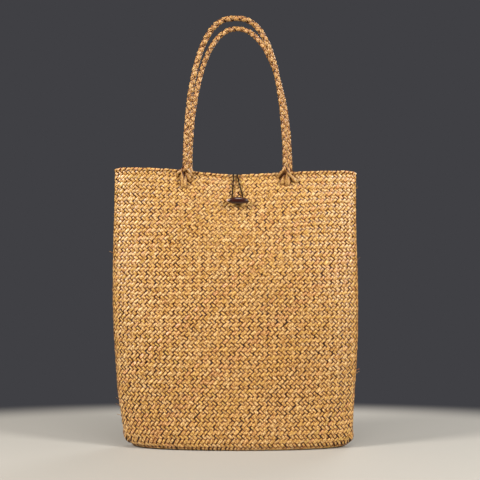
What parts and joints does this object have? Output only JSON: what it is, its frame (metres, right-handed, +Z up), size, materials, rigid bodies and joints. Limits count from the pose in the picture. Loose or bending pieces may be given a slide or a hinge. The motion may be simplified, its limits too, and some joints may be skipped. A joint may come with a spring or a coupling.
{
  "type": "straw basket bag",
  "caption": "Flat-sided plaited straw tote with an open mouth, braided straw handles and a wooden toggle held by an elastic loop.",
  "frame": {"origin": "middle of the base, on the surface that the bag stands on", "axes": "+Z up towards the handles, +X to the right seen from the front, -Y out of the front wall that carries the toggle"},
  "size_m": [0.352, 0.1082, 0.6127],
  "materials": {
    "woven_straw": "satin",
    "braided_straw": "satin",
    "toggle_wood": "gloss",
    "tie_cord": "matte",
    "black_elastic": "matte"
  },
  "bodies": {
    "root": {"woven_body": "woven_straw", "front_handle": "braided_straw", "back_handle": "braided_straw", "toggle": "toggle_wood", "toggle_tie": "tie_cord", "closure_loop": "black_elastic"}
  },
  "joints": []
}
